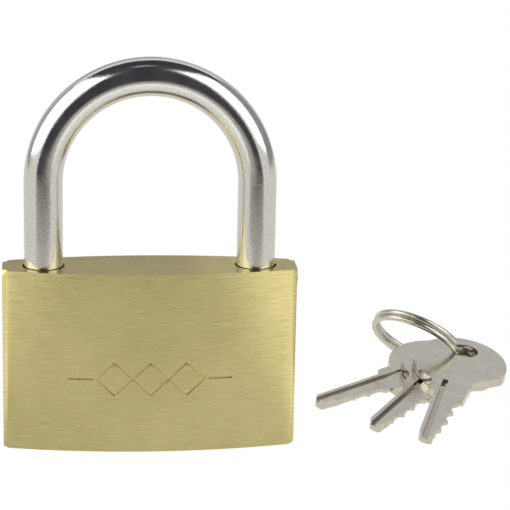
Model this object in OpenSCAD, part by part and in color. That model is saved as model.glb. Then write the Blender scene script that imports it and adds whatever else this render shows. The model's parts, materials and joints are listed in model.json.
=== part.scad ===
// Brass padlock with a hardened round shackle, a pin tumbler plug and three keys on a split ring.
// Millimetres, +Z up, +X to the right, front face towards -Y.
// Origin: centre of the body's flat base. The lock stands upright and the keys lie beside it.
// The plug is drawn turned to open, with the latch drawn back and the shackle pressed home.

/* [Body] */
// Width of the brass body
body_w = 60; // [59:0.5:62]
// Height of the brass body
body_h = 37.7; // [37.5:0.1:40]
// Thickness in the middle of the two bowed faces
body_t = 15.2; // [15:0.1:17]
// Thickness at the two narrow ends
end_t = 8.1; // [7.6:0.1:9]
// Depth of the engraved ornament
engrave_depth = 0.3; // [0.2:0.05:0.4]
// Width of the engraved strokes
engrave_w = 0.6; // [0.4:0.05:0.8]

/* [Shackle] */
// Diameter of the shackle wire
wire_d = 7.85; // [7.5:0.05:8]
// Distance between the centres of the two legs
leg_pitch = 43.3; // [43:0.1:43.6]
// Height of the centre of the crown above the base
crown_z = 55; // [52:0.5:60]
// Diameter of the two leg holes
leg_hole_d = 8.6; // [8.3:0.05:8.7]
// How far the shackle rises when it opens
shackle_lift = 11.5; // [11.3:0.1:11.6]
// Height of the toe end of the short leg
toe_z = 26.7; // [26.5:0.1:27]
// Diameter of the neck that the retaining pin runs in
neck_d = 5; // [4.5:0.1:5.4]
// Length of the foot below the neck
foot_h = 3; // [2.5:0.1:3.2]

/* [Latch] */
// Diameter of the latch bolt
latch_d = 5; // [4.8:0.1:5.2]
// Height of the latch bolt's axis
latch_z = 32.6; // [32.4:0.1:32.8]
// Radius at which the cam stud drives the latch
cam_r = 2.1; // [2:0.05:2.2]
// Diameter of the cam stud
stud_d = 2.4; // [2.2:0.1:2.5]

/* [Cylinder] */
// Diameter of the plug
plug_d = 11; // [10.6:0.1:11.2]
// Height of the top of the plug
plug_top = 24.6; // [24.4:0.1:25]
// Height of the lowest pin chamber
pin_first_z = 4.2; // [4:0.1:4.3]
// Spacing of the pin chambers
pin_pitch = 4.4; // [4.2:0.1:4.5]
// Diameter of the pins
pin_d = 2.7; // [2.5:0.05:2.8]
// Length of a driver pin
driver_len = 5; // [4:0.1:6]
// Length of a pin spring at rest
pin_spring_len = 5.8; // [5:0.1:7]

/* [Keys] */
// Thickness of a key
key_t = 2; // [1.8:0.05:2.2]
// Distance from the ring hole to the blade's tip
key_len = 42.7; // [40:0.1:44]
// Distance from the ring hole to the shoulder that meets the plug
key_shoulder = 24; // [22:0.1:25]
// Half width of the bow
bow_half_w = 10.5; // [9.5:0.1:10.8]
// Half length of the bow
bow_half_l = 12; // [11:0.1:12.5]
// Diameter of the hole in the bow
bow_hole_d = 6.2; // [5.6:0.1:6.6]
// Width of the blade from spine to uncut edge
blade_w = 6; // [5.6:0.1:6.2]

/* [Split ring] */
// Radius of the ring's centre line
ring_r = 10.5; // [10.4:0.1:10.6]
// Diameter of the ring's wire
ring_wire_d = 1.45; // [1.3:0.05:1.45]

/* [Hidden] */
STACKS = [1, 2, 3, 4];
KEYS = [1, 2, 3];

$fn = 64;
brass = "#c4b878";
bright_brass = "#cfc07a";
steel = "#c9c7c2";
spring_steel = "#8f9094";
nickel = "#b3ada3";
eps = 0.01;

// Bowed faces: the radius that gives body_t in the middle and end_t at the ends
face_sag = (body_t - end_t) / 2;
face_r = (pow(body_w / 2, 2) + pow(face_sag, 2)) / (2 * face_sag);
face_y = face_r - body_t / 2;

leg_x = leg_pitch / 2;
toe_hole_z = toe_z - 0.5;

// Heel leg: the pin stops the foot when the shackle is fully up
stop_pin_d = 3;
stop_pin_z = 24;
neck_top = stop_pin_z + stop_pin_d / 2 + 0.2;
foot_top = stop_pin_z - stop_pin_d / 2 - shackle_lift;
foot_z = foot_top - foot_h;
heel_floor = 2.5;
stop_pin_tip = leg_x + neck_d / 2 + 0.2;

// Latch: the stud swings a quarter turn, half of it each side of the +Y direction
latch_bore_d = latch_d + 0.1;
latch_stroke = cam_r * sqrt(2);
latch_tip = leg_x - leg_hole_d / 2 - 0.15;
latch_back = -5.2;
latch_bore_back = -11.4;
notch_gap = 0.3;
stud_x = -cam_r * cos(45);
stud_y = cam_r * sin(45);
stud_top = latch_z + 1;
cam_chamber_top = stud_top + 0.4;
stud_gap = 0.2;

// Cylinder
plug_bottom = 0.1;
bore_gap = 0.05;
plug_bore_d = plug_d + 2 * bore_gap;
cam_bottom = plug_top + 0.05;
cam_top = latch_z - latch_d / 2 - 0.7;
tenon_w = 2.4;
tenon_h = 1.4;
groove_pin_d = 2;
groove_pin_z = 21.4;
groove_r = 4.4;
chamber_d = pin_d + 0.1;
driver_x = plug_bore_d / 2 + 0.01;
pin_end = plug_d / 2 - 0.2;
spring_x = driver_x + driver_len + 0.05;
chamber_plug_x = spring_x + pin_spring_len + 0.05;
pin_cone = 0.9;
pin_tip_d = 1;
chamber_start = -1.5;

// Keyway, seen with the pins towards +X: spine side at -X
keyway_w = key_t + 0.2;
keyway_gap = 0.1;
keyway_floor = -3.8;
keyway_roof = keyway_floor + blade_w + 2 * keyway_gap;
keyway_depth = key_len - key_shoulder + 1;
key_cuts = [1.1, 1.5, 2, 2.9];

// Key blade, seen from above: spine at -Y, cuts at +Y.
// The cut edge is a flange, because the underside is milled away below it.
spine_y = -3.1;
blade_top = spine_y + blade_w;
cut_flat = 2.8;
groove_y = [-2.3, -1];
groove_depth = 0.9;
groove_start = 16;
groove_cutter_r = 9;
flange_y = 0.2;
flange_t = 0.9;
flange_start = key_shoulder - 1;
bow_end = 6;
bow_x = bow_half_l - bow_end;
neck_x = 15;
neck_y = 4.3;

// Where the keys and the ring lie: the ring hole's centre, heading, and tip height
key_hole_at = [[72.53, 38.85, 3.61], [72.96, 36.06, 5.2], [73.49, 33.48, 6.93]];
key_heading = [36.8, 55.9, 69.9];
key_tip_z = [1.98, 1.1, 0.99];
key_roll = [-12.2, -10.1, -8];
ring_at = [63.88, 39.75, 8.61];
ring_tilt = 44.5;
ring_heading = 48.6;
ring_turn_gap = 0.68;

function pin_z(i) = pin_first_z + (i - 1) * pin_pitch;
function cut_depth(i) = key_cuts[i - 1];
function key_pitch(i) = asin((key_hole_at[i - 1][2] - key_tip_z[i - 1]) / key_len);

// ---- Shared shapes ----

// Round bar along +X from x0 to x1, at height z
module bar_x(x0, x1, d, z) {
    translate([x0, 0, z]) rotate([0, 90, 0]) cylinder(h = x1 - x0, d = d);
}

// Wire helix about +Z that stands on z = 0
module coil(d, wire, len, turns, per_turn = 16, sides = 6) {
    r = (d - wire) / 2;
    w = wire / 2;
    steps = turns * per_turn;
    points = [
        for (i = [0:steps]) for (j = [0:sides - 1])
            let (a = 360 * i / per_turn, b = 360 * j / sides)
            [(r + w * cos(b)) * cos(a), (r + w * cos(b)) * sin(a),
             w + (len - wire) * i / steps + w * sin(b)]];
    walls = [
        for (i = [0:steps - 1]) for (j = [0:sides - 1])
            let (a = i * sides + j, b = i * sides + (j + 1) % sides)
            each [[a, b, b + sides], [a, b + sides, a + sides]]];
    caps = [[for (j = [sides - 1:-1:0]) j], [for (j = [0:sides - 1]) steps * sides + j]];
    polyhedron(points, concat(walls, caps), convexity = 8);
}

// ---- Body ----

// One outlined lozenge, centred on the origin
module lozenge(w, h) {
    inner = 1 - 2 * engrave_w / h;
    difference() {
        polygon([[-w / 2, 0], [0, -h / 2], [w / 2, 0], [0, h / 2]]);
        polygon([[-w / 2 * inner, 0], [0, -h / 2 * inner], [w / 2 * inner, 0], [0, h / 2 * inner]]);
    }
}

// Ornament on the front: three lozenges between two short rules
module ornament_2d() {
    gem_w = 8;
    gem_h = 7.6;
    step = gem_w - engrave_w;
    rule = 5;
    for (i = [-1:1]) translate([i * step, 0]) lozenge(gem_w, gem_h);
    for (side = [-1, 1]) {
        translate([side * (1.5 * step + rule / 2 + 0.6), 0]) square([rule, engrave_w], center = true);
    }
}

module ornament() {
    ornament_z = 15.7;
    difference() {
        translate([0, -body_t / 2 + 3, ornament_z]) rotate([90, 0, 0])
            linear_extrude(height = 4) ornament_2d();
        translate([0, face_y, -eps]) cylinder(h = body_h, r = face_r - engrave_depth, $fn = 256);
    }
}

module body() {
    color(brass) difference() {
        intersection() {
            translate([-body_w / 2, -body_t, 0]) cube([body_w, 2 * body_t, body_h]);
            translate([0, face_y, -1]) cylinder(h = body_h + 2, r = face_r, $fn = 256);
            translate([0, -face_y, -1]) cylinder(h = body_h + 2, r = face_r, $fn = 256);
        }
        translate([-leg_x, 0, heel_floor]) cylinder(h = body_h, d = leg_hole_d);
        translate([leg_x, 0, toe_hole_z]) cylinder(h = body_h, d = leg_hole_d);
        translate([0, 0, -1]) cylinder(h = cam_top + 0.2 + 1, d = plug_bore_d);
        cylinder(h = cam_chamber_top, r = cam_r + stud_d / 2 + 0.3);
        bar_x(latch_bore_back, body_w, latch_bore_d, latch_z);
        for (i = STACKS) bar_x(0, body_w, chamber_d, pin_z(i));
        bar_x(0, body_w, groove_pin_d, groove_pin_z);
        bar_x(-body_w, -leg_x, stop_pin_d, stop_pin_z);
        ornament();
    }
}

// ---- Shackle ----

module shackle() {
    chamfer = 1;
    notch_h = latch_d + 2 * notch_gap;
    notch_x = latch_tip + latch_stroke + 0.15;
    color(steel) difference() {
        union() {
            translate([0, 0, crown_z]) rotate([90, 0, 0])
                rotate_extrude(angle = 180, $fn = 128) translate([leg_x, 0]) circle(d = wire_d);
            translate([-leg_x, 0, neck_top]) cylinder(h = crown_z - neck_top, d = wire_d);
            translate([-leg_x, 0, foot_top - 1]) cylinder(h = neck_top - foot_top + 2, d = neck_d);
            translate([-leg_x, 0, foot_z]) cylinder(h = foot_h, d = wire_d);
            translate([leg_x, 0, toe_z + chamfer]) cylinder(h = crown_z - toe_z - chamfer, d = wire_d);
            translate([leg_x, 0, toe_z])
                cylinder(h = chamfer, d1 = wire_d - 2 * chamfer, d2 = wire_d);
        }
        translate([notch_x - wire_d, -wire_d, latch_z - notch_h / 2])
            cube([wire_d, 2 * wire_d, notch_h]);
    }
}

module shackle_spring() {
    gap = 0.1;
    color(spring_steel) translate([-leg_x, 0, heel_floor + gap])
        coil(7.2, 0.8, foot_z - heel_floor - 2 * gap, 4.5, per_turn = 20, sides = 8);
}

module shackle_retaining_pin() {
    color(bright_brass) bar_x(-body_w / 2, -stop_pin_tip, stop_pin_d, stop_pin_z);
}

// ---- Latch ----

module latch_bolt() {
    slot_w = stud_d + 2 * stud_gap;
    ramp = 1.4;
    color(steel) difference() {
        bar_x(latch_back, latch_tip, latch_d, latch_z);
        translate([stud_x - slot_w / 2, 0, latch_z - latch_d])
            cube([slot_w, latch_d, latch_d + stud_top + 0.3 - latch_z]);
        translate([latch_tip - ramp, -latch_d, latch_z + latch_d / 2]) rotate([0, 45, 0])
            cube([2 * latch_d, 2 * latch_d, latch_d]);
    }
}

module latch_spring() {
    gap = 0.1;
    len = latch_back - latch_bore_back - 2 * gap;
    color(spring_steel) translate([latch_bore_back + gap, 0, latch_z]) rotate([0, 90, 0])
        coil(3.8, 0.45, len, 6);
}

module latch_bore_plug() {
    color(bright_brass)
        bar_x(leg_x + leg_hole_d / 2 + 0.3, body_w / 2, latch_bore_d, latch_z);
}

// ---- Cylinder ----

// Keyway outline with the pins towards +X: one ward enters the blade's groove, one lies below its flange
module keyway_2d() {
    blade_x = keyway_floor + keyway_gap - spine_y;
    groove_ward = groove_y + [2 * keyway_gap, -2 * keyway_gap];
    flange_ward = flange_y + 2 * keyway_gap;
    difference() {
        translate([keyway_floor, -keyway_w / 2]) square([keyway_roof - keyway_floor, keyway_w]);
        translate([blade_x + groove_ward[0], key_t / 2 - groove_depth + keyway_gap])
            square([groove_ward[1] - groove_ward[0], keyway_w]);
        translate([blade_x + flange_ward, key_t / 2 - flange_t - keyway_gap - keyway_w])
            square([blade_w, keyway_w]);
    }
}

// Pin chambers open into the keyway
module plug_chambers() {
    for (i = STACKS) bar_x(chamber_start, plug_d, chamber_d, pin_z(i));
}

module plug() {
    groove_h = groove_pin_d + 0.2;
    color(bright_brass) rotate([0, 0, 90]) difference() {
        translate([0, 0, plug_bottom]) cylinder(h = plug_top - plug_bottom, d = plug_d);
        translate([0, 0, plug_bottom - 1]) linear_extrude(height = keyway_depth + 1) keyway_2d();
        plug_chambers();
        translate([0, 0, groove_pin_z - groove_h / 2]) difference() {
            cylinder(h = groove_h, d = plug_d + 2);
            translate([0, 0, -1]) cylinder(h = groove_h + 2, r = groove_r);
        }
        translate([-tenon_w / 2 - 0.05, -plug_d, plug_top - tenon_h - 0.1])
            cube([tenon_w + 0.1, 2 * plug_d, tenon_h + 1]);
    }
}

module plug_cam() {
    cam_d = plug_d - 0.1;
    color(steel) union() {
        translate([0, 0, cam_bottom]) cylinder(h = cam_top - cam_bottom, d = cam_d);
        intersection() {
            translate([0, 0, cam_bottom - tenon_h]) cylinder(h = tenon_h + 1, d = cam_d);
            translate([-plug_d, -tenon_w / 2, cam_bottom - tenon_h])
                cube([2 * plug_d, tenon_w, tenon_h + 1]);
        }
        translate([stud_x, stud_y, cam_top - 1]) cylinder(h = stud_top - cam_top + 1, d = stud_d);
    }
}

module plug_retaining_pin() {
    color(bright_brass) bar_x(groove_r + 0.3, body_w / 2, groove_pin_d, groove_pin_z);
}

// ---- Pin stacks ----

// A key pin is as long as its cut is deep, so all of them end at the plug's surface
module key_pin(i) {
    tip = keyway_roof - keyway_gap - cut_depth(i);
    color(bright_brass) rotate([0, 0, 90]) union() {
        bar_x(tip + pin_cone, pin_end, pin_d, pin_z(i));
        translate([tip, 0, pin_z(i)]) rotate([0, 90, 0])
            cylinder(h = pin_cone, d1 = pin_tip_d, d2 = pin_d);
    }
}

module driver_pin(i) {
    color(bright_brass) bar_x(driver_x, driver_x + driver_len, pin_d, pin_z(i));
}

module pin_spring(i) {
    color(spring_steel) translate([spring_x, 0, pin_z(i)]) rotate([0, 90, 0])
        coil(2.4, 0.3, pin_spring_len, 7, per_turn = 12);
}

module chamber_plug(i) {
    color(bright_brass) bar_x(chamber_plug_x, body_w / 2, chamber_d, pin_z(i));
}

// ---- Keys and ring ----

module cut_2d(i) {
    depth = cut_depth(i);
    over = 0.5;
    flank = depth + over;
    translate([key_shoulder + pin_z(i), blade_top - depth])
        polygon([[cut_flat / 2, 0], [cut_flat / 2 + flank, flank],
                 [-cut_flat / 2 - flank, flank], [-cut_flat / 2, 0]]);
}

// The bow is an ellipse that runs straight into the neck on the cut side
module bow_2d() {
    flare = [8.8, 10.4];
    corner_r = 3;
    far_x = bow_x + bow_half_l;
    offset(r = corner_r) offset(r = -corner_r) difference() {
        polygon([for (a = [0:5:355]) [bow_x + bow_half_l * cos(a), bow_half_w * sin(a)]]);
        polygon([flare, [neck_x, neck_y], [far_x, neck_y], [far_x, bow_half_w + 1], [flare[0], bow_half_w + 1]]);
    }
}

// Neck with a slanted shoulder on the spine side and a low step on the cut side
module neck_2d() {
    spine_edge = -4.6;
    slant = spine_y - spine_edge;
    slant_x = key_shoulder - 3.2;
    step = 0.6;
    polygon([[bow_x, spine_edge], [slant_x, spine_edge], [slant_x + slant, spine_y],
             [key_shoulder, spine_y], [key_shoulder, blade_top + step], [neck_x, neck_y], [bow_x, neck_y]]);
}

module blade_2d() {
    tip_round = 1.8;
    tip_y = blade_top - cut_depth(4);
    tip_bevel = 0.5;
    polygon(concat(
        [[bow_x, spine_y]],
        [for (a = [-90:15:0]) [key_len - tip_round * (1 - cos(a)), spine_y + tip_round * (1 + sin(a))]],
        [[key_len, tip_y - tip_bevel], [key_len - tip_bevel, tip_y],
         [key_shoulder + pin_z(4), tip_y], [key_shoulder + pin_z(4) - blade_w, blade_top],
         [bow_x, blade_top]]));
}

module key_2d() {
    difference() {
        union() {
            bow_2d();
            neck_2d();
            blade_2d();
        }
        for (i = STACKS) cut_2d(i);
        circle(d = bow_hole_d);
    }
}

// The groove fades out towards the bow along the milling cutter's rim
module blade_groove() {
    w = groove_y[1] - groove_y[0];
    run_out = sqrt(2 * groove_cutter_r * groove_depth - pow(groove_depth, 2));
    floor_z = key_t / 2 - groove_depth;
    translate([groove_start + run_out, groove_y[0], 0]) union() {
        translate([0, 0, floor_z]) cube([key_len, w, key_t]);
        translate([0, 0, floor_z + groove_cutter_r]) rotate([-90, 0, 0]) cylinder(h = w, r = groove_cutter_r);
    }
}

// A key about its ring hole, blade along +X, lying flat
module key_blank() {
    difference() {
        translate([0, 0, -key_t / 2]) linear_extrude(height = key_t) key_2d();
        blade_groove();
        translate([flange_start, flange_y, key_t / 2 - flange_t - key_t])
            cube([key_len, blade_w, key_t]);
    }
}

module key(i) {
    color(nickel) translate(key_hole_at[i - 1]) rotate([0, 0, key_heading[i - 1] + 180])
        rotate([0, key_pitch(i), 0]) rotate([key_roll[i - 1], 0, 0]) key_blank();
}

// Two turns of wire side by side
module split_ring() {
    color(nickel) translate(ring_at) rotate([0, ring_tilt, ring_heading]) union() {
        for (side = [-1, 1]) {
            translate([0, 0, side * ring_turn_gap]) rotate_extrude($fn = 96)
                translate([ring_r, 0]) circle(d = ring_wire_d, $fn = 24);
        }
    }
}

body();
shackle();
shackle_spring();
shackle_retaining_pin();
plug();
plug_cam();
plug_retaining_pin();
latch_bolt();
latch_spring();
latch_bore_plug();
for (i = STACKS) {
    key_pin(i);
    driver_pin(i);
    pin_spring(i);
    chamber_plug(i);
}
split_ring();
for (i = KEYS) key(i);
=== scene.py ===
"""Looks of a brass padlock with a polished steel shackle and three keys on a split ring.

Everything is in metres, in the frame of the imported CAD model, with +Z up and the front towards -Y.
"""

import json
import math

import bpy
import numpy as np
from mathutils import Matrix, Vector


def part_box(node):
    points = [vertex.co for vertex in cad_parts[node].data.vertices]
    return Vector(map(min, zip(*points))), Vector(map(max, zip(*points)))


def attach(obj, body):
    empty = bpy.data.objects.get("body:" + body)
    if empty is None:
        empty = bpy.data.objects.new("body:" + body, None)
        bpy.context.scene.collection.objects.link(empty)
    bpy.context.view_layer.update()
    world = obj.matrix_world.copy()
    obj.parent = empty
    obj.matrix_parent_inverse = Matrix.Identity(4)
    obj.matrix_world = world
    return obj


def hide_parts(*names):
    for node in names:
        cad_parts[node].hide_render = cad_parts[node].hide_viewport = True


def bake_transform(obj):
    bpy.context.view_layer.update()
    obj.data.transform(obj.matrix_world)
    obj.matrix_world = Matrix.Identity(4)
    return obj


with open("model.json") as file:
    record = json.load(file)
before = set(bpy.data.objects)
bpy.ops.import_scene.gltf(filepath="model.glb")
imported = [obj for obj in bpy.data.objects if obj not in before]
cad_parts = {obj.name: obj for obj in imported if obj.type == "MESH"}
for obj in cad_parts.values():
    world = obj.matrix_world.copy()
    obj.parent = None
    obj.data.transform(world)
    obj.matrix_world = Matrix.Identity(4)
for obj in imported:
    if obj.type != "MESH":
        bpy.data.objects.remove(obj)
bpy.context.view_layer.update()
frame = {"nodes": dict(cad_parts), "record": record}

MM = 0.001

NODES = frame["nodes"]


# ---- Camera ----

CAMERA_TARGET = Vector((21.5, 0, 39.7)) * MM
CAMERA_AZIMUTH = math.radians(-6.03)
CAMERA_ELEVATION = math.radians(14.99)
CAMERA_ROLL = math.radians(1.32)
CAMERA_DISTANCE = 405.8 * MM
CAMERA_LENS = 139.6
SENSOR_WIDTH = 36
CLIP_RANGE = (0.01, 20)


def direction(azimuth, elevation):
    """Unit vector from the object towards a viewer; azimuth 0 is the front, positive is +X."""
    flat = math.cos(elevation)
    return Vector((math.sin(azimuth) * flat, -math.cos(azimuth) * flat, math.sin(elevation)))


def make_camera():
    data = bpy.data.cameras.new("camera")
    data.sensor_width = SENSOR_WIDTH
    data.lens = CAMERA_LENS
    data.clip_start, data.clip_end = CLIP_RANGE
    camera = bpy.data.objects.new("camera", data)
    back = direction(CAMERA_AZIMUTH, CAMERA_ELEVATION)
    turn = (-back).to_track_quat("-Z", "Y").to_matrix().to_4x4()
    roll = Matrix.Rotation(CAMERA_ROLL, 4, "Z")
    camera.matrix_world = Matrix.Translation(CAMERA_TARGET + back * CAMERA_DISTANCE) @ turn @ roll
    bpy.context.scene.collection.objects.link(camera)
    bpy.context.scene.camera = camera


# ---- Node helpers ----


FACING_LIMIT = 0.7


class Graph:
    """A material's node tree, with short ways to add and link nodes."""

    def __init__(self, name):
        self.material = bpy.data.materials.new(name)
        self.material.use_nodes = True
        self.tree = self.material.node_tree
        self.shader = self.tree.nodes["Principled BSDF"]

    def add(self, kind, **settings):
        node = self.tree.nodes.new(kind)
        for key, value in settings.items():
            setattr(node, key, value)
        return node

    def link(self, source, target):
        self.tree.links.new(source, target)

    def constants(self, values):
        """Sets the shader's own sockets: {socket name: value}."""
        for name, value in values.items():
            self.shader.inputs[name].default_value = value

    def position(self):
        """Object position in metres, for a texture."""
        return self.add("ShaderNodeTexCoord").outputs["Object"]

    def facing(self, axis):
        """1 on faces that look along that axis, 0 on the others."""
        normal = self.add("ShaderNodeSeparateXYZ")
        self.link(self.add("ShaderNodeTexCoord").outputs["Normal"], normal.inputs[0])
        return self.math("GREATER_THAN", self.math("ABSOLUTE", normal.outputs[axis], 0), FACING_LIMIT)

    def across_grain(self, place):
        """The coordinate across strokes that run along X: Z on upright faces, Y on level ones."""
        point = self.add("ShaderNodeSeparateXYZ")
        self.link(place, point.inputs[0])
        level = self.facing("Z")
        upright = self.math("SUBTRACT", 1, level)
        by_z = self.math("MULTIPLY", point.outputs["Z"], upright)
        by_y = self.math("MULTIPLY", point.outputs["Y"], level)
        return self.math("ADD", by_z, by_y)

    def across_tangent(self):
        """The direction across the strokes, which a reflection is smeared along."""
        on_sides = self.add("ShaderNodeTangent", direction_type="RADIAL", axis="X")
        on_ends = self.add("ShaderNodeTangent", direction_type="RADIAL", axis="Y")
        node = self.add("ShaderNodeMix", data_type="VECTOR")
        first, second = [s for s in node.inputs if s.type == "VECTOR" and s.name != "Factor"]
        self.link(on_sides.outputs[0], first)
        self.link(on_ends.outputs[0], second)
        self.link(self.facing("X"), node.inputs["Factor"])
        return [s for s in node.outputs if s.type == "VECTOR"][0]

    def grain_vector(self, place, across, along_scale, across_scale):
        """A texture vector for strokes along X."""
        point = self.add("ShaderNodeSeparateXYZ")
        self.link(place, point.inputs[0])
        vector = self.add("ShaderNodeCombineXYZ")
        self.link(self.math("MULTIPLY", point.outputs["X"], along_scale), vector.inputs[0])
        self.link(self.math("MULTIPLY", across, across_scale), vector.inputs[1])
        return vector.outputs[0]

    def noise(self, vector, scale, detail=2.0, roughness=0.5):
        node = self.add("ShaderNodeTexNoise")
        node.inputs["Scale"].default_value = scale
        node.inputs["Detail"].default_value = detail
        node.inputs["Roughness"].default_value = roughness
        self.link(vector, node.inputs["Vector"])
        return node.outputs["Fac"]

    def ramp(self, value, low, high, start=0.0, end=1.0):
        """Maps value from start..end to low..high."""
        node = self.add("ShaderNodeMapRange")
        node.inputs["From Min"].default_value = start
        node.inputs["From Max"].default_value = end
        node.inputs["To Min"].default_value = low
        node.inputs["To Max"].default_value = high
        self.link(value, node.inputs["Value"])
        return node.outputs["Result"]

    def mix_colour(self, factor, first, second):
        """A colour between first and second, each a colour or a socket."""
        node = self.add("ShaderNodeMix", data_type="RGBA")
        colour_a, colour_b = [s for s in node.inputs if s.type == "RGBA"]
        for socket, value in ((colour_a, first), (colour_b, second)):
            if isinstance(value, bpy.types.NodeSocket):
                self.link(value, socket)
            else:
                socket.default_value = (*value, 1)
        self.link(factor, node.inputs["Factor"])
        return [s for s in node.outputs if s.type == "RGBA"][0]

    def math(self, operation, first, second):
        node = self.add("ShaderNodeMath", operation=operation)
        for socket, value in zip(node.inputs, (first, second)):
            if isinstance(value, bpy.types.NodeSocket):
                self.link(value, socket)
            else:
                socket.default_value = value
        return node.outputs["Value"]

    def bump(self, height, depth):
        """A bump of that depth in metres."""
        node = self.add("ShaderNodeBump")
        node.inputs["Strength"].default_value = 1.0
        node.inputs["Distance"].default_value = depth
        self.link(height, node.inputs["Height"])
        return node.outputs["Normal"]

    def surface(self, colour, roughness, normal):
        """Joins up a metal's base colour, roughness and relief."""
        self.link(colour, self.shader.inputs["Base Color"])
        self.link(roughness, self.shader.inputs["Roughness"])
        self.link(normal, self.shader.inputs["Normal"])
        self.constants({"Metallic": 1.0})


# ---- Materials ----


def brushed_brass():
    """Belt-ground brass: fine strokes along X, a little wavy, with patches that differ in tone."""
    dark = (0.66, 0.57, 0.24)
    light = (0.94, 0.82, 0.4)
    sway_height = 0.9 * MM
    relief = 0.02 * MM
    g = Graph("brushed_brass")
    place = g.position()
    sway = g.math("MULTIPLY", g.noise(place, 45, 1), sway_height)
    wavy = g.math("ADD", g.across_grain(place), sway)
    strokes = g.noise(g.grain_vector(place, wavy, 170, 2600), 1, 3, 0.6)
    fine = g.noise(g.grain_vector(place, wavy, 420, 6500), 1, 2, 0.6)
    patches = g.noise(place, 60, 2)
    rough = g.math("ADD", g.math("MULTIPLY", strokes, 0.6), g.math("MULTIPLY", fine, 0.4))
    tone = g.math("ADD", g.math("MULTIPLY", rough, 0.8), g.math("MULTIPLY", patches, 0.2))
    colour = g.mix_colour(g.ramp(tone, 0, 1, 0.38, 0.62), dark, light)
    g.surface(colour, g.ramp(rough, 0.26, 0.34, 0.35, 0.65), g.bump(rough, relief))
    g.link(g.across_tangent(), g.shader.inputs["Tangent"])
    g.constants({"Anisotropic": 1.0})
    return g.material


def polished_steel():
    """Polished steel with fine pits, with a little painted shade in their hollows."""
    dark = (0.63, 0.62, 0.6)
    light = (0.74, 0.73, 0.71)
    relief = 0.014 * MM
    g = Graph("polished_steel")
    place = g.position()
    pits = g.noise(place, 2600, 3, 0.7)
    patches = g.noise(place, 220, 3)
    # Painted shade: the colour is darker where the pits' relief is low.
    colour = g.mix_colour(g.ramp(pits, 0, 1, 0.36, 0.58), dark, light)
    g.surface(colour, g.ramp(patches, 0.1, 0.18, 0.35, 0.65), g.bump(pits, relief))
    return g.material


def satin_nickel():
    """Nickel plate that has lost some of its shine, with painted shade in the grooves."""
    dark = (0.62, 0.585, 0.505)
    light = (0.71, 0.68, 0.6)
    groove_shade_colour = (0.42, 0.39, 0.31)
    shade_reach = 1.2 * MM
    relief = 0.0015 * MM
    g = Graph("satin_nickel")
    place = g.position()
    grain = g.noise(place, 3500, 2)
    patches = g.noise(place, 320, 3, 0.6)
    unshaded = g.mix_colour(g.ramp(patches, 0, 1, 0.3, 0.7), dark, light)
    # Painted shade: where ambient occlusion finds a recess, such as the keys' grooves, the colour
    # darkens towards a dark brown.
    recess = g.add("ShaderNodeAmbientOcclusion", samples=16, only_local=True)
    recess.inputs["Distance"].default_value = shade_reach
    openness = g.ramp(recess.outputs["AO"], 0, 1, 0.4, 0.9)
    colour = g.mix_colour(openness, groove_shade_colour, unshaded)
    g.surface(colour, g.ramp(patches, 0.16, 0.24), g.bump(grain, relief))
    return g.material


def plain_metal(name, colour, roughness, relief=0.004 * MM):
    """A metal with faint spots, for the inner pieces and the ring's wire."""
    g = Graph(name)
    spots = g.noise(g.position(), 900, 3)
    tone = g.mix_colour(spots, tuple(c * 0.9 for c in colour), colour)
    g.surface(tone, g.ramp(spots, roughness * 0.8, roughness * 1.2), g.bump(spots, relief))
    return g.material


def slot_of(node):
    """The record's material slot of a CAD node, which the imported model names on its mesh."""
    return NODES[node].data.materials[0].name


LOOKS = {
    "brass": brushed_brass(),
    "plug_brass": plain_metal("machined_brass", (0.75, 0.62, 0.32), 0.25),
    "shackle_steel": polished_steel(),
    "cam_steel": plain_metal("machined_steel", (0.5, 0.5, 0.5), 0.3),
    "spring_steel": plain_metal("spring_wire", (0.4, 0.4, 0.42), 0.3),
    "nickel_wire": plain_metal("nickel_wire", (0.7, 0.68, 0.6), 0.26, 0.0005 * MM),
    "key_nickel": satin_nickel(),
}


def dress_nodes():
    for name, node in NODES.items():
        look = LOOKS[slot_of(name)]
        node.data.materials.clear()
        node.data.materials.append(look)


# ---- Worn edges of the CAD pieces ----

TOUCHING = 0.001 * MM


def weld(piece, name):
    """Joins the CAD faces' doubled corners, so that an edge can be rounded."""
    modifier = piece.modifiers.new(name, "WELD")
    modifier.merge_threshold = TOUCHING


def round_edges(piece, name, width, segments):
    modifier = piece.modifiers.new(name, "BEVEL")
    modifier.width = width
    modifier.segments = segments
    return modifier


def ease_edges(node, width, hardened=False):
    """Rounds a CAD piece's edges with modifiers; its own mesh stays as it is."""
    piece = NODES[node]
    weld(piece, "weld")
    bevel = round_edges(piece, "bevel", width, 2)
    bevel.limit_method = "ANGLE"
    bevel.angle_limit = math.radians(40)
    bevel.harden_normals = hardened
    if not hardened:
        piece.modifiers.new("normals", "WEIGHTED_NORMAL")


def round_corners(node, width):
    """Rounds the four upright corners of the lock body, where belt grinding wears them most."""
    piece = NODES[node]
    low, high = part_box(node)
    at_end = 0.01 * MM
    tall = 0.9 * (high.z - low.z)
    weights = piece.data.attributes.new("bevel_weight_edge", "FLOAT", "EDGE")
    for edge in piece.data.edges:
        ends = [piece.data.vertices[i].co for i in edge.vertices]
        outer = all(min(p.x - low.x, high.x - p.x) < at_end for p in ends)
        upright = abs(ends[0].z - ends[1].z) > tall
        weights.data[edge.index].value = float(outer and upright)
    weld(piece, "weld_corners")
    round_edges(piece, "corners", width, 5).limit_method = "WEIGHT"


def ease_all_edges():
    round_corners("body", 1.1 * MM)
    ease_edges("body", 0.15 * MM)
    for name in ("key_1", "key_2", "key_3"):
        ease_edges(name, 0.12 * MM, hardened=True)


# ---- Wound wire ----

WIRE_RESOLUTION = 7
COIL_STEPS = 24

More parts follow.
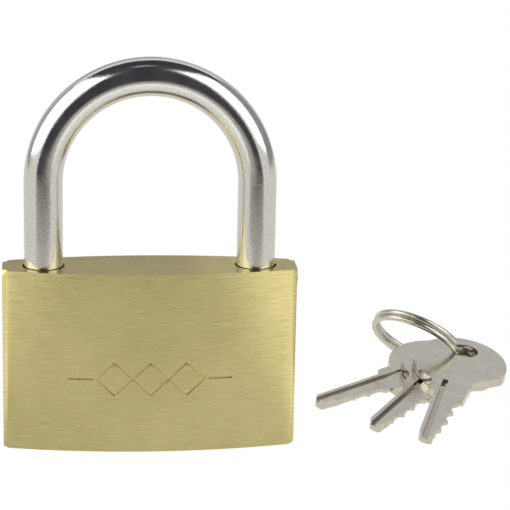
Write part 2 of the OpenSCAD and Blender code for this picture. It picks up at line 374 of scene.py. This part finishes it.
def wire(name, points, radius, slot):
    """A round wire along points, with flat ends."""
    curve = bpy.data.curves.new(name, "CURVE")
    curve.dimensions = "3D"
    curve.bevel_depth = radius
    curve.bevel_resolution = WIRE_RESOLUTION
    curve.use_fill_caps = True
    spline = curve.splines.new("POLY")
    spline.points.add(len(points) - 1)
    for target, point in zip(spline.points, points):
        target.co = (*point, 1)
    path = bpy.data.objects.new(name + "_path", curve)
    mesh = bpy.data.meshes.new_from_object(path)
    bpy.data.objects.remove(path)
    for face in mesh.polygons:
        face.use_smooth = len(face.vertices) == 4
    mesh.materials.clear()
    mesh.materials.append(LOOKS[slot])
    piece = bpy.data.objects.new(name, mesh)
    bpy.context.scene.collection.objects.link(piece)
    return piece


def smooth_step(t):
    t = min(max(t, 0), 1)
    return t * t * (3 - 2 * t)


def make_split_ring():
    """One wire wound twice: each turn lies flat, and the wire crosses over between its blunt ends.

    The crossing lies in the key holes; the last joint of the record turns about the uppermost one.
    """
    corners = np.array([v.co for v in NODES["split_ring"].data.vertices])
    centre = (corners.min(0) + corners.max(0)) / 2
    offsets = corners - centre
    normal = np.linalg.eigh(offsets.T @ offsets)[1][:, 0]
    normal = normal if normal[2] > 0 else -normal
    lifts = offsets @ normal
    spans = np.linalg.norm(offsets - np.outer(lifts, normal), axis=1)
    radius = (spans.max() + spans.min()) / 2
    thick = spans.max() - spans.min()
    turn_gap = lifts.max() - thick / 2
    hole = Vector(frame["record"]["behaviour"]["joints"][-1]["pos_m"])
    side = np.array(hole) - centre
    side -= normal * (side @ normal)
    side /= np.linalg.norm(side)
    other = np.cross(normal, side)
    clearance = 0.03 * MM
    end_angle = 22
    crossing_start, crossing_end = 344, 376
    points = []
    for degrees in range(end_angle, 2 * 360 - end_angle + 1):
        crossed = (degrees - crossing_start) / (crossing_end - crossing_start)
        lift = turn_gap * (2 * smooth_step(crossed) - 1)
        angle = math.radians(degrees)
        flat = side * math.cos(angle) + other * math.sin(angle)
        points.append(centre + flat * radius + normal * lift)
    ring = wire("ring_wire", points, thick / 2 - clearance, "nickel_wire")
    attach(ring, "key_ring")
    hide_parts("split_ring")


def coil_points(start, end, coil_radius, thick, turns):
    """A compression spring's centre line from start to end, with its end turns closed."""
    axis = (end - start).normalized()
    side = axis.orthogonal().normalized()
    other = axis.cross(side)
    length = (end - start).length
    open_length = length - 3 * thick
    points = []
    for i in range(int(turns * COIL_STEPS) + 1):
        turn = i / COIL_STEPS
        rise = thick / 2 + thick * min(turn, 1) + thick * max(turn - turns + 1, 0)
        rise += open_length * min(max((turn - 1) / (turns - 2), 0), 1)
        angle = 2 * math.pi * turn
        around = side * math.cos(angle) + other * math.sin(angle)
        points.append(start + axis * rise + around * coil_radius)
    return points


def make_spring(node, along, thick, turns, flipped=False):
    """A coil spring in a CAD spring's place, where it stays at rest."""
    low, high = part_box(node)
    middle = (low + high) / 2
    start = middle.copy()
    end = middle.copy()
    start[along] = high[along] if flipped else low[along]
    end[along] = low[along] if flipped else high[along]
    across = (high - low)[(along + 1) % 3]
    points = coil_points(start, end, (across - thick) / 2, thick, turns)
    spring = wire(node + "_wire", points, thick / 2, "spring_steel")
    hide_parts(node)
    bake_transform(spring)


def make_springs():
    along_x, along_z = 0, 2
    make_spring("shackle_spring", along_z, 0.8 * MM, 4.5)
    make_spring("latch_spring", along_x, 0.45 * MM, 7)
    for stack in (1, 2, 3, 4):
        make_spring(f"pin_spring_{stack}", along_x, 0.3 * MM, 8, flipped=True)


# ---- Light and floor ----

STUDIO_CENTRE = Vector((0, 0, 55)) * MM
SOFTBOX_DISTANCE = 600 * MM
SOFTBOX_RIM = 30 * MM
BEHIND_SOFTBOX = 5 * MM
# Heights in mm of what lies flat on the table, one under the other
CARD_LEVEL = -0.1
GROUND_LEVEL = -0.2
FLOOR_LEVEL = -0.3
TABLE_REACH = 3000


def aimed(azimuth, elevation, distance):
    """Placement of a light or card that faces the lock from that direction."""
    back = direction(math.radians(azimuth), math.radians(elevation))
    turn = (-back).to_track_quat("-Z", "Y").to_matrix().to_4x4()
    return Matrix.Translation(STUDIO_CENTRE + back * distance) @ turn


def softbox(name, azimuth, elevation, width, height, power):
    """A softbox in a dark frame."""
    data = bpy.data.lights.new(name, "AREA")
    data.shape = "RECTANGLE"
    data.size = width
    data.size_y = height
    data.energy = power
    light = bpy.data.objects.new(name, data)
    light.matrix_world = aimed(azimuth, elevation, SOFTBOX_DISTANCE)
    bpy.context.scene.collection.objects.link(light)
    x = width / 2 + SOFTBOX_RIM
    y = height / 2 + SOFTBOX_RIM
    rim = card(name + "_rim", rows((-x, x, -y, 0), (-x, x, y, 0)), (0.06, 0.06, 0.06))
    rim.matrix_world = aimed(azimuth, elevation, SOFTBOX_DISTANCE + BEHIND_SOFTBOX)


def rows(*spans):
    """A card's outline from level rows, each given by its two X, its Y and its Z."""
    lefts = [(left, y, z) for left, right, y, z in spans]
    rights = [(right, y, z) for left, right, y, z in spans]
    return lefts[:1] + rights + lefts[:0:-1]


def wall(start, end, low, high):
    """The outline of an upright card between two points on the ground."""
    return [(*start, low), (*end, low), (*end, high), (*start, high)]


def table_outline(height):
    reach = TABLE_REACH
    return rows((-reach, reach, -reach, height), (-reach, reach, reach, height))


def in_metres(outline):
    return [Vector(corner) * MM for corner in outline]


def glow(name, colour, strength=1.0):
    """A surface that shines evenly, for the white floor and the cards."""
    g = Graph(name)
    g.constants({"Base Color": (0, 0, 0, 1), "Specular IOR Level": 0})
    g.constants({"Emission Color": (*colour, 1), "Emission Strength": strength})
    return g


def card(name, corners, colour):
    """A card that shows in reflections only, as a studio photographer puts one up."""
    mesh = bpy.data.meshes.new(name)
    mesh.from_pydata(corners, [], [list(range(len(corners)))])
    piece = bpy.data.objects.new(name, mesh)
    g = glow(name, colour)
    mesh.materials.append(g.material)
    piece.visible_camera = False
    piece.visible_diffuse = False
    piece.visible_shadow = False
    bpy.context.scene.collection.objects.link(piece)
    return piece


def make_cards():
    """Cloth, paper and walls round the lock, which only its reflections show; outlines in mm."""
    black = (0.05, 0.05, 0.055)
    paper = (0.46, 0.44, 0.4)
    level = CARD_LEVEL
    cloth_foot = (-430, 250, -430, level)
    cloth_edge = (-258, 240, -430, 330)
    paper_edge = (-218, 162, -225, level)
    cards = {
        "card_front": (black, rows(cloth_foot, cloth_edge)),
        "card_top": (black, rows(cloth_edge, (-127, 110, -250, 482.8), (-200, 200, 0, 695))),
        "card_ceiling": (black, rows((-600, 600, -600, 700), (-600, 600, 370, 700))),
        "card_floor": (black, rows(cloth_foot, paper_edge)),
        "card_paper": (paper, rows(paper_edge, (-135, 115, -120, level))),
        "card_behind": ((0.38, 0.39, 0.46), rows((-150, 35, 300, 60), (-150, 35, 330, 260))),
        "card_sky": ((0.5, 0.6, 0.75), rows((-60, 25, -145, 500), (-60, 25, -95, 500))),
        "wall_right": ((0.32, 0.32, 0.33), wall((800, -200), (800, 800), level, 900)),
        "wall_left": ((0.4, 0.4, 0.42), wall((-800, 100), (-800, 800), level, 900)),
        "wall_back": ((0.62, 0.62, 0.63), wall((-800, 800), (800, 800), 30, 900)),
        "ground": ((0.8, 0.78, 0.72), table_outline(GROUND_LEVEL)),
    }
    for name, (colour, outline) in cards.items():
        card(name, in_metres(outline), colour)


def make_near_card():
    """The bright paper in front of the lock, which gets darker towards it."""
    far_y, near_y = -120, -3
    outline = rows((-84, 95, far_y, CARD_LEVEL), (-31, 30, near_y, CARD_LEVEL))
    piece = card("card_near", in_metres(outline), (1, 1, 1))
    g = glow("card_near_fade", (1, 0.99, 0.96))
    point = g.add("ShaderNodeSeparateXYZ")
    g.link(g.position(), point.inputs[0])
    fade = g.ramp(point.outputs["Y"], 1.2, 0.72, far_y * MM, 0)
    g.link(fade, g.shader.inputs["Emission Strength"])
    piece.data.materials[0] = g.material


def make_floor():
    """A white floor that shines as brightly as the background."""
    mesh = bpy.data.meshes.new("floor")
    mesh.from_pydata(in_metres(table_outline(FLOOR_LEVEL)), [], [(0, 1, 2, 3)])
    mesh.materials.append(glow("lit_floor", (1, 1, 1)).material)
    floor = bpy.data.objects.new("floor", mesh)
    bpy.context.scene.collection.objects.link(floor)


def make_world():
    scene = bpy.context.scene
    scene.view_settings.view_transform = "Standard"
    world = bpy.data.worlds.new("tent")
    world.use_nodes = True
    background = world.node_tree.nodes["Background"]
    background.inputs["Color"].default_value = (1, 1, 1, 1)
    background.inputs["Strength"].default_value = 1.0
    scene.world = world


def make_studio():
    make_world()
    softbox("softbox_left", -75, 31, 0.776, 0.64, 2.73)
    softbox("softbox_right", 59, 31, 0.52, 0.64, 1.83)
    make_floor()
    make_cards()
    make_near_card()


make_camera()
make_studio()
dress_nodes()
ease_all_edges()
make_split_ring()
make_springs()
